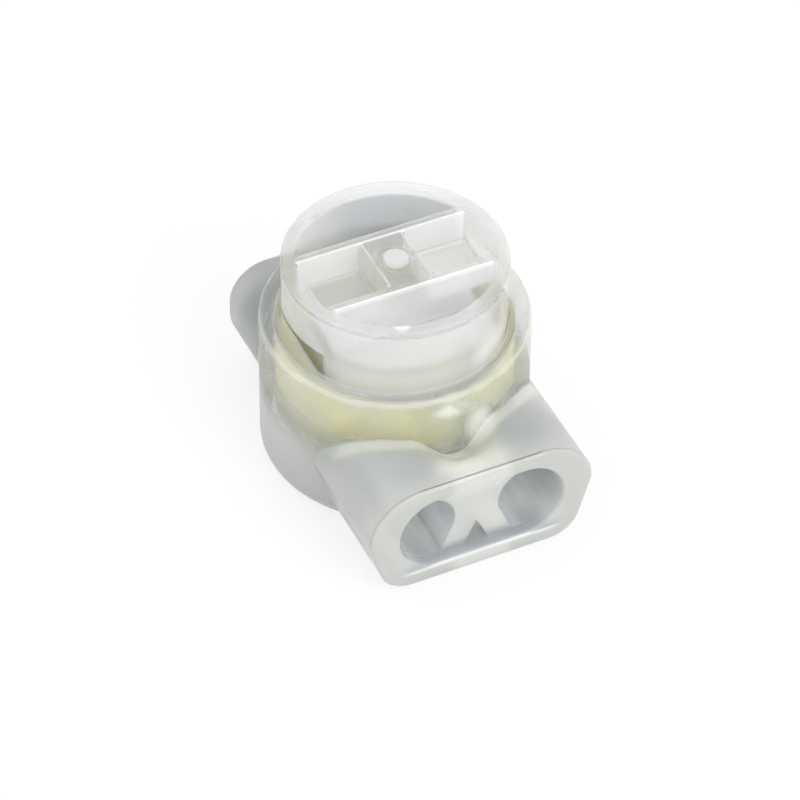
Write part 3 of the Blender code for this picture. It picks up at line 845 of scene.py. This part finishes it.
# %% Finish
class Finish:
    def __init__(self, name):
        self.material = bpy.data.materials.new(name)
        self.material.use_nodes = True
        self.tree = self.material.node_tree
        self.tree.nodes.clear()

    def node(self, kind, settings=None, sockets=None):
        made = self.tree.nodes.new(kind)
        for key, value in (settings or {}).items():
            setattr(made, key, value)
        for key, value in (sockets or {}).items():
            if isinstance(value, Value):
                value = value.socket
            if isinstance(value, bpy.types.NodeSocket):
                self.tree.links.new(value, made.inputs[key])
            else:
                made.inputs[key].default_value = value
        return made

    def place(self):
        return self.node("ShaderNodeTexCoord").outputs["Object"]

    def xyz(self):
        """The place on the object, as three Values in metres."""
        parts = self.node("ShaderNodeSeparateXYZ", None, {0: self.place()}).outputs
        return [Value(self, part) for part in parts]

    def rise(self, value, start, end):
        """A smooth step from 0 at start to 1 at end."""
        made = self.node("ShaderNodeMapRange", {"interpolation_type": "SMOOTHSTEP"},
                         {"Value": value, "From Min": start, "From Max": end})
        return Value(self, made.outputs["Result"])

    def fall(self, value, start, end):
        """A smooth step from 1 at start to 0 at end."""
        return 1 - self.rise(value, start, end)

    def line(self, value, place, half_width):
        """1 where the value is at this place, and a soft fall to 0 on both sides."""
        return self.fall(abs(value - place), 0.3 * half_width, half_width)

    def stretched(self, x, y, z):
        return self.node("ShaderNodeMapping", None, {"Vector": self.place(), "Scale": (x, y, z)}).outputs[0]

    def noise(self, scale, detail=3.0, roughness=0.5, where=None):
        made = self.node("ShaderNodeTexNoise", None, {"Vector": where or self.place(), "Scale": scale,
                                                      "Detail": detail, "Roughness": roughness})
        return Value(self, made.outputs["Fac"])

    def mixed(self, amount, first, second):
        """From the first colour to the second, each written out or worked out already."""
        first, second = ((*c, 1) if isinstance(c, tuple) else c for c in (first, second))
        return self.node("ShaderNodeMix", {"data_type": "RGBA"}, {0: amount, 6: first, 7: second}).outputs[2]

    def layered(self, base, layers):
        """Lays each colour over what is there, as strongly as its amount says."""
        for amount, colour in layers:
            base = self.mixed(amount, base, colour)
        return base

    def bump(self, height, distance):
        return self.node("ShaderNodeBump", None, {"Height": height, "Distance": distance}).outputs["Normal"]

    def principled(self, sockets):
        return self.node("ShaderNodeBsdfPrincipled", None, sockets).outputs[0]

    def blend(self, amount, first, second):
        return self.node("ShaderNodeMixShader", None, {0: amount, 1: first, 2: second}).outputs[0]

    def surface(self, shader):
        self.node("ShaderNodeOutputMaterial", None, {"Surface": shader})
        self.tell("finished")

    def tell(self, step):
        print(f"{self.material.name}, {step}: {len(self.tree.nodes)} nodes")


# %% [markdown]
# ## Milky plastic
#
# The housing is a milky, translucent moulding. Light enters it, spreads, and comes out again. A
# volume could follow that light, but takes long to render and is lost in the exported model. So
# the shader is part scattering and part see-through, and the light and dark places that the
# plastic's inside gives are laid on by place, with soft steps. They all start from the same few
# distances: along the axes, from the cup's axis, and from the middle of the nearest wire channel.

# %% Distances in the housing
milky = Finish("milky_plastic")
x, y, z = milky.xyz()
from_axis = x.reach(y)
from_wire = (abs(x) - CHANNEL_X).reach(z - CHANNEL_HEIGHT)
milky.tell("distances")

# %% [markdown]
# The cup's wall is thin above the cradle, so the gel shows through it. Its rim gets a painted
# highlight, a painted shadow lies behind the cup on the lobe, and a painted highlight runs along the
# seam where the cup meets the block.

# %% Wall, rim, lobe and seam
WALL_RADII, WALL_HEIGHTS = (0.00452, 0.0047), (0.0022, 0.0036)
RIM_RADII, RIM_HEIGHTS = (0.00428, 0.00446), (0.0053, 0.0055)
BEHIND_RADII, BEHIND_START, BEHIND_END = (0.0045, 0.0046), (0.0024, 0.0028), (0.0047, 0.0053)
SEAM_RADIUS, SEAM_HALF_WIDTH = 0.0048, 0.00035
SEAM_HEIGHTS, SEAM_END = (0.0029, 0.0035), (-0.0034, -0.0028)

wall = milky.fall(from_axis, *WALL_RADII)
thin_wall = wall * milky.rise(z, *WALL_HEIGHTS)
# painted highlight along the cup's rim
rim_highlight = milky.rise(from_axis, *RIM_RADII) * milky.rise(z, *RIM_HEIGHTS)
# painted shadow on the lobe behind the cup
lobe_shadow = (milky.rise(y, *BEHIND_START) * milky.rise(from_axis, *BEHIND_RADII)
          * (1 - 0.8 * milky.rise(y, *BEHIND_END)))
# painted highlight along the seam where the cup meets the block
seam_highlight = (milky.line(from_axis, SEAM_RADIUS, SEAM_HALF_WIDTH) * milky.rise(z, *SEAM_HEIGHTS)
        * milky.fall(y, *SEAM_END))
milky.tell("cup")

# %% [markdown]
# The wire channels are seen from their mouths and look darker, because little light comes back out
# of them, so their shade is painted on, starting a little behind the front face. Inside, a painted
# dark line of shade lies along the sill of the mouth, a painted highlight on the flank at each side of
# the divider, and painted light on the divider itself.

# %% Inside the wire channels
CORE_RADII, SHADE_START, INSIDE_END = (0.0014, 0.00162), (-0.0058, -0.0044), (0.0050, 0.0056)
SHADE_SLANT = 0.35
SILL_FOOT, SILL_TOP = (0.00060, 0.00064), (0.0007, 0.0011)
SILL_X, SILL_END = (0.0024, 0.0030), (-0.0064, -0.0050)
FLANK_X, FLANK_START, FLANK_END = (0.0013, 0.0018), (-0.0063, -0.0062), (-0.0054, -0.0044)
DIVIDER_X, DIVIDER_END = (0.0008, 0.0012), (-0.0064, -0.0058)

core = milky.fall(from_wire, *CORE_RADII)
shade = milky.rise(y + SHADE_SLANT * abs(x), *SHADE_START)
# painted shade inside the wire channels, deepening from the mouth back
inside = core * shade * milky.fall(y, *INSIDE_END)
# painted shade along the mouth's sill
sill_shade = (milky.rise(z, *SILL_FOOT) * milky.fall(z, *SILL_TOP) * milky.fall(abs(x), *SILL_X)
        * milky.fall(y, *SILL_END))
# painted highlight on the flank at each side of the divider
lit_flank = (core * milky.fall(abs(x), *FLANK_X) * milky.rise(y, *FLANK_START)
         * milky.fall(y, *FLANK_END))
# painted light on the divider
divider = milky.fall(abs(x), *DIVIDER_X) * milky.fall(y, *DIVIDER_END)
milky.tell("channels")

# %% [markdown]
# The front face is even and light. The humps get a painted shade, where the shaded channels show
# through them, a painted highlight runs along the mouth's lower lip, and the valley gets a yellowish
# painted light.

# %% Front face, humps, lip and valley
FRONT_END = (-0.0066, -0.0050)
HUMP_HALF_WIDTH, HUMP_HEIGHTS, HUMP_START = (0.0003, 0.0014), (0.0030, 0.0037), (-0.0067, -0.0056)
LOWER_LIP, LOWER_LIP_HALF_HEIGHT, LOWER_LIP_END = 0.00058, 0.00012, (-0.0066, -0.0065)
VALLEY_X, VALLEY_END, VALLEY_HEIGHTS = (0.0005, 0.0018), (-0.0046, -0.0043), (0.0027, 0.0031)
VALLEY_START, VALLEY_RADII = (-0.0067, -0.0058), (0.0045, 0.00462)

front = milky.fall(y, *FRONT_END)
# painted shade on the humps, where the channels show through
hump_shade = (milky.fall(abs(abs(x) - CHANNEL_X), *HUMP_HALF_WIDTH) * milky.rise(z, *HUMP_HEIGHTS) * (1 - wall)
        * milky.rise(y, *HUMP_START))
# painted highlight along the mouth's lower lip
lip_highlight = (milky.line(z, LOWER_LIP, LOWER_LIP_HALF_HEIGHT) * milky.fall(abs(x), *SILL_X)
              * milky.fall(y, *LOWER_LIP_END))
# painted yellowish light in the valley
lit_valley = milky.fall(abs(x), *VALLEY_X) * milky.fall(y, *VALLEY_END) * milky.rise(z, *VALLEY_HEIGHTS)
lit_valley = lit_valley * milky.rise(y, *VALLEY_START) * milky.rise(from_axis, *VALLEY_RADII)
milky.tell("block")

# %% [markdown]
# Two bright glimmers lie on the wall above the valley, where lamp light comes back out of the gel.
# Each is a soft spot, wider one way than the other, and noise breaks the first into patches.

# %% Glimmers above the valley
FIRST_Y, FIRST_HEIGHT, FIRST_FLATNESS, FIRST_RADII = -0.0045, 0.0050, 2.2, (0.0002, 0.0012)
SECOND_X, SECOND_Y, SECOND_HEIGHT, SECOND_FLATNESS = 0.00095, -0.0044, 0.0039, 0.7
SECOND_RADII = (0.0002, 0.0008)

patches = milky.rise(milky.noise(1400, 2), 0.4, 0.62)
glimmer = milky.fall(x.reach(y - FIRST_Y).reach(FIRST_FLATNESS * (z - FIRST_HEIGHT)), *FIRST_RADII)
glimmer = glimmer * (0.35 + 0.65 * patches)
second = (x - SECOND_X).reach(y - SECOND_Y).reach(SECOND_FLATNESS * (z - SECOND_HEIGHT))
glimmer = glimmer + milky.fall(second, *SECOND_RADII)
milky.tell("glimmers")

# %% [markdown]
# ## The housing's colours
#
# The outside starts as two cloudy greys, and each place then lays its own colour over them, most of
# them painted light or shade. The channels have a painted shade in a bluer grey, drawn out in streaks
# along the wires. Colours go through Mix nodes, because a Math node would turn them grey.

# %% Colours of the milky plastic
cloud = milky.noise(320, 4, 0.55)
streaks = milky.noise(900, 2, where=milky.stretched(1, 0.12, 1))
outer_colour = milky.layered(milky.mixed(cloud, (0.54, 0.56, 0.56), (0.68, 0.69, 0.66)), (
    (0.8 * front, (0.61, 0.62, 0.59)),
    (0.7 * hump_shade, (0.5, 0.52, 0.54)),
    (lobe_shadow, (0.3, 0.32, 0.31)),
    (0.8 * lit_valley, (0.9, 0.91, 0.76)),
    (0.8 * seam_highlight + 0.6 * divider, (0.86, 0.87, 0.81)),
    (lip_highlight + 0.6 * rim_highlight, (0.95, 0.96, 0.95)),
    (glimmer, (1.0, 1.0, 0.92)),
))
# the bluer grey of the painted shade in the channels, streaked along the wires
channel_shade_colour = milky.mixed(milky.rise(streaks, 0.4, 0.65), (0.46, 0.50, 0.52), (0.76, 0.80, 0.83))
body_colour = milky.layered(milky.mixed(inside, outer_colour, channel_shade_colour), (
    (0.8 * sill_shade, (0.36, 0.39, 0.44)),
    (0.8 * lit_flank * milky.rise(streaks, 0.3, 0.6), (0.86, 0.91, 0.97)),
))
milky.tell("colours")

# %% [markdown]
# ## The housing's shader
#
# The scattering part is a Principled shader with some subsurface light and a smooth coat. It is
# partly clear, most of all in the thin wall. Its roughness stays above 0.27, because a smoother
# one makes the renderer's noise filter draw thin lines where the clearness changes. The other
# part is frosted glass with a low index, so that light goes nearly straight through.

# %% Milk and glass, blended
skin = milky.bump(milky.noise(2500, 2), 0.000004)
milk = milky.principled({
    "Base Color": body_colour,
    "Roughness": 0.28 + 0.08 * milky.noise(900),
    "IOR": 1.5,
    "Alpha": (0.7 + 0.1 * milky.noise(260) + 0.1 * front - 0.6 * thin_wall + 0.1 * inside + 0.25 * rim_highlight
              + 0.2 * lit_valley + 0.2 * seam_highlight + 0.5 * glimmer),
    "Subsurface Weight": 0.5,
    "Subsurface Radius": (1.0, 0.95, 0.85),
    "Subsurface Scale": 0.001,
    "Coat Weight": 0.5,
    "Coat Roughness": 0.1,
    "Normal": skin,
})
glass = milky.principled({
    # the glass is tinted darker by the same painted channel shade
    "Base Color": milky.mixed(inside, (0.97, 0.98, 0.97), (0.6, 0.66, 0.7)),
    "Roughness": 0.32 - 0.2 * thin_wall + 0.1 * milky.noise(900),
    "IOR": 1.35,
    "Transmission Weight": 1.0,
    "Normal": skin,
})
glass_share = 0.45 - 0.25 * inside - 0.2 * front - 0.2 * thin_wall - 0.2 * sill_shade - 0.2 * glimmer
milky.surface(milky.blend(glass_share, milk, glass))

# %% [markdown]
# ## Clear plastic
#
# The cap is clear, but thick and full of edges, and the photograph shows it as whites and greys.
# As in the housing, those are laid on by place, as painted light and shade. First come the two
# crescent pockets: the rear one has a painted shade on its wall and floor, and the front one a
# painted bluish light on its floor, with a painted highlight on the rim before it.

# %% The cap's crescent pockets
REAR_START = (BAR_HALF_DEPTH, BAR_HALF_DEPTH + 0.0001)
ROOM_WALL, ROOM_WALL_END, ROOM_WALL_TOP = (0.00318, 0.00326), (0.00332, 0.0034), (0.00765, 0.00785)
ROOM_WALL_LIGHTENS = (-0.0028, 0.0005)
ROOM_RADII, ROOM_FLOOR, ROOM_FLOOR_TOP = (0.0032, 0.0033), (0.0058, 0.0060), (0.0061, 0.0063)
FRONT_FLOOR_END = (-0.0016, -0.00145)
SPARK_X, SPARK_Y, SPARK_HEIGHT, SPARK_RADII = -0.00124, -0.00312, 0.0079, (0.0001, 0.00036)

clear = Finish("clear_plastic")
x, y, z = clear.xyz()
from_axis = x.reach(y)
rear = clear.rise(y, *REAR_START)
# painted shade on the rear pocket's wall, paler towards the left
rear_wall_shade = rear * clear.rise(from_axis, *ROOM_WALL) * clear.fall(from_axis, *ROOM_WALL_END)
rear_wall_shade = rear_wall_shade * (0.5 + 0.5 * clear.rise(x, *ROOM_WALL_LIGHTENS)) * clear.fall(z, *ROOM_WALL_TOP)
in_room = clear.fall(from_axis, *ROOM_RADII) * clear.fall(z, *ROOM_FLOOR_TOP) * clear.rise(z, *ROOM_FLOOR)
# painted bluish light on the front pocket's floor
lit_front_floor = in_room * clear.fall(y, *FRONT_FLOOR_END)
# painted highlight on the rim's inner lip at the front
spark_highlight = clear.fall((x - SPARK_X).reach(y - SPARK_Y).reach(z - SPARK_HEIGHT), *SPARK_RADII)
clear.tell("crescent pockets")

# %% [markdown]
# The windows in the bar have painted highlights on the rear wall and the inner sides, and painted
# shade on the floor, which is lighter, with painted light, in the right one.

# %% The cap's windows
WINDOWS_ABOVE, WINDOWS_ACROSS = (0.0065, 0.0068), (0.00295, 0.0031)
WINDOW_REAR, WINDOW_REAR_END = (0.00106, 0.00112), (0.00118, 0.00124)
WINDOW_SIDE, WINDOW_SIDE_HALF_WIDTH, WINDOW_SIDE_Y = 0.00075, 0.00012, (0.00113, 0.0012)
OFF_CENTRE, RIGHT_WINDOW = (0.0006, 0.0008), (0.0007, 0.0012)
FLOOR_FROM, FLOOR_TO, FLOOR_Y = (0.0064, 0.00652), (0.00662, 0.00672), (0.00105, 0.0012)

upper = clear.rise(z, *WINDOWS_ABOVE)
across = clear.fall(abs(x), *WINDOWS_ACROSS)
# painted highlight on each window's rear wall
window_rear_highlight = clear.rise(y, *WINDOW_REAR) * clear.fall(y, *WINDOW_REAR_END) * across * upper
# painted highlight on each window's inner side
window_side_highlight = (clear.line(abs(x), WINDOW_SIDE, WINDOW_SIDE_HALF_WIDTH) * clear.fall(abs(y), *WINDOW_SIDE_Y)
               * clear.rise(from_axis, *OFF_CENTRE) * upper)
right_hand = clear.rise(x, *RIGHT_WINDOW)
# painted shade on the window floors, with painted light in the right window
window_floor_shade_and_light = (clear.fall(z, *FLOOR_TO) * clear.fall(abs(y), *FLOOR_Y) * across
                * clear.rise(z, *FLOOR_FROM))
clear.tell("windows")

# %% [markdown]
# Light gathers along the bar's upper edges, down its front side and in the gate mark. The plug's
# outer wall is a little milkier, more so near the gel, and a long glint lies on its right side.

# %% The cap's edges, walls and glint
EDGE_HALF_WIDTH, EDGE_HEIGHTS, WITHIN_RIM = 0.0001, (0.0076, 0.0078), (0.0031, 0.0033)
RIM_TOP_HEIGHTS, RIM_TOP_RADII = (0.00780, 0.00792), (0.0032, 0.0034)
BAR_FRONT_HALF_WIDTH, BAR_FRONT_HEIGHTS = 0.00008, (0.0060, 0.0062)
OUTER_RADII, OUTER_TOP, SKIRT_TOP = (0.0036, 0.0037), (0.00765, 0.0078), (0.0059, 0.0064)
GLINT_WAY, GLINT_REACH, GLINT_TOP = (0.7127, 0.7014), (0.0031, 0.0036), (0.0060, 0.0073)
GATE_MARK_RADII, GATE_MARK_HEIGHTS = (0.0003, 0.0007), (0.0077, 0.00785)

edges = (clear.line(abs(y), BAR_HALF_DEPTH, EDGE_HALF_WIDTH) * clear.rise(z, *EDGE_HEIGHTS)
         * clear.fall(from_axis, *WITHIN_RIM))
edges = edges + 0.3 * clear.rise(z, *RIM_TOP_HEIGHTS) * clear.rise(from_axis, *RIM_TOP_RADII)
bar_front = (clear.line(y, -BAR_HALF_DEPTH, BAR_FRONT_HALF_WIDTH) * clear.rise(z, *BAR_FRONT_HEIGHTS)
             * clear.fall(from_axis, *WITHIN_RIM))
outer_wall = clear.rise(from_axis, *OUTER_RADII) * clear.fall(z, *OUTER_TOP)
skirt = outer_wall * clear.fall(z, *SKIRT_TOP)
glint = clear.rise(GLINT_WAY[0] * x - GLINT_WAY[1] * y, *GLINT_REACH) * clear.fall(z, *GLINT_TOP)
gate_mark = clear.fall(from_axis, *GATE_MARK_RADII) * clear.rise(z, *GATE_MARK_HEIGHTS)
clear.tell("edges")

# %% [markdown]
# ## The cap's shader
#
# Haze carries the whites and greys and is mostly clear, and a glossy clear part goes over it. The
# haze is smooth, since a clear cap mirrors the lamps, and a coat makes its highlights crisp.

# %% Haze and gloss, blended
cap_skin = clear.bump(clear.noise(1800, 2), 0.000003)
pale = clear.mixed(clear.noise(300), (0.88, 0.89, 0.89), (0.97, 0.97, 0.96))
tint = clear.layered(pale, (
    (rear_wall_shade, (0.42, 0.45, 0.48)),
    # painted shade on the rear pocket's floor
    (0.25 * in_room * rear, (0.6, 0.62, 0.62)),
    (lit_front_floor + 0.7 * bar_front, (0.88, 0.93, 1.0)),
    (0.7 * window_floor_shade_and_light, clear.mixed(right_hand, (0.7, 0.71, 0.7), (0.96, 0.97, 0.97))),
    (gate_mark, (0.9, 0.93, 1.0)),
    (spark_highlight + 0.8 * edges + glint, (1.0, 1.0, 1.0)),
))
haze = clear.principled({
    "Base Color": tint,
    "Roughness": 0.08 + 0.08 * clear.noise(700),
    "IOR": 1.5,
    "Alpha": (0.15 + 0.07 * clear.noise(400) + 0.55 * rear_wall_shade + 0.35 * lit_front_floor + 0.65 * window_rear_highlight
              + 0.4 * window_side_highlight + 0.3 * window_floor_shade_and_light + 0.3 * right_hand * window_floor_shade_and_light + 0.3 * edges
              + 0.5 * gate_mark + 0.6 * spark_highlight + 0.2 * outer_wall + 0.12 * skirt + 0.35 * bar_front
              + 0.35 * glint),
    "Subsurface Weight": 0.5,
    "Subsurface Radius": (1.0, 1.0, 1.0),
    "Subsurface Scale": 0.0008,
    "Coat Weight": 1.0,
    "Coat Roughness": 0.04,
    "Normal": cap_skin,
})
gloss = clear.principled({
    "Base Color": (0.99, 0.99, 0.99, 1),
    "Roughness": 0.1 + 0.05 * clear.noise(700),
    "IOR": 1.2,
    "Transmission Weight": 1.0,
    "Normal": cap_skin,
})
clear.surface(clear.blend(0.2, haze, gloss))

# %% [markdown]
# ## The yellowish gel
#
# The gel is clear and only faintly yellow, but the cup holds a few millimetres of it, so it shows
# as a yellow band. One Principled shader gives it: yellow and fuller in the pool, nearly colourless
# at the surface, and paler in a painted highlight near the right hump.

# %% The gel's shader
POOL_TOP, POOL_FOOT = (0.0050, 0.0053), (0.0018, 0.0024)
GEL_HIGHLIGHT_X, GEL_HIGHLIGHT_Y, GEL_HIGHLIGHT_HEIGHT, GEL_HIGHLIGHT_RADII = 0.0016, -0.0036, 0.0042, (0.0004, 0.0013)

jelly = Finish("gel")
x, y, z = jelly.xyz()
pool = jelly.fall(z, *POOL_TOP) * jelly.rise(z, *POOL_FOOT)
# painted highlight on the gel near the right hump, broken up by noise
gel_highlight = jelly.fall((x - GEL_HIGHLIGHT_X).reach(y - GEL_HIGHLIGHT_Y).reach(z - GEL_HIGHLIGHT_HEIGHT), *GEL_HIGHLIGHT_RADII)
gel_highlight = gel_highlight * jelly.rise(jelly.noise(900, 1), 0.42, 0.56)
yellow = jelly.mixed(jelly.rise(jelly.noise(330), 0.35, 0.65), (1.0, 0.95, 0.42), (1.0, 0.99, 0.72))
jelly.surface(jelly.principled({
    "Base Color": jelly.mixed(pool * (1 - 0.9 * gel_highlight), (1.0, 1.0, 0.96), yellow),
    "Roughness": 0.08 + 0.1 * jelly.noise(500),
    "IOR": 1.42,
    "Alpha": 0.3 + 0.55 * pool + 0.15 * gel_highlight,
    "Subsurface Weight": 0.6,
    "Subsurface Radius": (1.0, 0.9, 0.4),
    "Subsurface Scale": 0.001,
    "Normal": jelly.bump(jelly.noise(600, 2), 0.00002),
}))

# %% [markdown]
# ## Tin plating
#
# The contact is rolled brass strip with a thin coat of tin. It is metal all over, a little rough,
# with a grain that the rolling leaves. Noise that is squeezed along Z gives the grain.

# %% The contact's tin plating
tin = Finish("tinned_brass")
grain = tin.stretched(1, 1, 12)
tin.surface(tin.principled({
    "Base Color": tin.mixed(tin.noise(500), (0.68, 0.67, 0.63), (0.8, 0.79, 0.76)),
    "Metallic": 1.0,
    "Roughness": 0.25 + 0.2 * tin.noise(900, where=grain),
    "Normal": tin.bump(tin.noise(1500, where=grain), 0.000004),
}))

# %% [markdown]
# ## Dressing the pieces
#
# The three modelled pieces get their own finishes. The contact keeps its plain solid, which is as
# good as a new one would be, so only the material in its slot changes.

# %% Finishes on their pieces
def dress(piece, finish):
    piece.data.materials.clear()
    piece.data.materials.append(finish.material)
    print(piece.name, "wears", finish.material.name)


dress(housing, milky)
dress(cap, clear)
dress(gel, jelly)
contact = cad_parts["contact"]
for place in contact.material_slots:
    place.material = tin.material
print("contact wears", tin.material.name)

# %% [markdown]
# ## The floor
#
# The photograph's ground is pure white, with only a faint shadow. More lamp light would bleach the
# object too, so the floor's own material shows white to the camera and in reflections instead,
# blended with a matt paper that still takes the shadow.

# %% White floor
FLOOR_SIZE, FLOOR_DROP = 2.0, 0.00002
WHITER = 0.75
PAPER = (0.97, 0.97, 0.97, 1)

bpy.ops.object.select_all(action="DESELECT")
bpy.ops.mesh.primitive_plane_add(size=FLOOR_SIZE, location=(0, 0, -FLOOR_DROP))
floor = fresh("floor")
paper = Finish("white_paper")
matt = paper.principled({"Base Color": PAPER, "Roughness": 0.9})
glow = paper.node("ShaderNodeEmission", None, {"Color": (1, 1, 1, 1), "Strength": 1.0}).outputs[0]
rays = paper.node("ShaderNodeLightPath").outputs
seen = (Value(paper, rays["Is Camera Ray"]) + Value(paper, rays["Is Glossy Ray"])
        + Value(paper, rays["Is Transmission Ray"]))
paper.surface(paper.blend(WHITER * seen, matt, glow))
dress(floor, paper)

# %% [markdown]
# ## Light
#
# A white room gives most of the light, which keeps the plastic even. A large soft lamp in front
# and a weak one behind on the left shape it. All are scaled to the object, which is only a
# centimetre long, so the lamps are tiny in watts.

# %% World and lamps
ROOM_LIGHT = 0.95
LAMPS = {
    "key": ((0.03, -0.12, 0.09), 0.09, 0.075),
    "fill": ((-0.09, 0.05, 0.1), 0.09, 0.015),
}

world = bpy.data.worlds.new("room")
bpy.context.scene.world = world
world.use_nodes = True
world.node_tree.nodes["Background"].inputs["Color"].default_value = (1, 1, 1, 1)
world.node_tree.nodes["Background"].inputs["Strength"].default_value = ROOM_LIGHT
for name, (place, size, power) in LAMPS.items():
    light = bpy.data.lights.new(name, "AREA")
    light.shape, light.size, light.energy = "DISK", size, power
    lamp = bpy.data.objects.new(name, light)
    bpy.context.scene.collection.objects.link(lamp)
    lamp.location = place
    lamp.rotation_euler = Vector(place).to_track_quat("Z", "Y").to_euler()
    print(name, power, "W")
bpy.context.scene.view_settings.view_transform = "Standard"

# %% [markdown]
# ## The end
#
# The view layer is brought up to date, and the scene ends here.

# %% The end
bpy.context.view_layer.update()
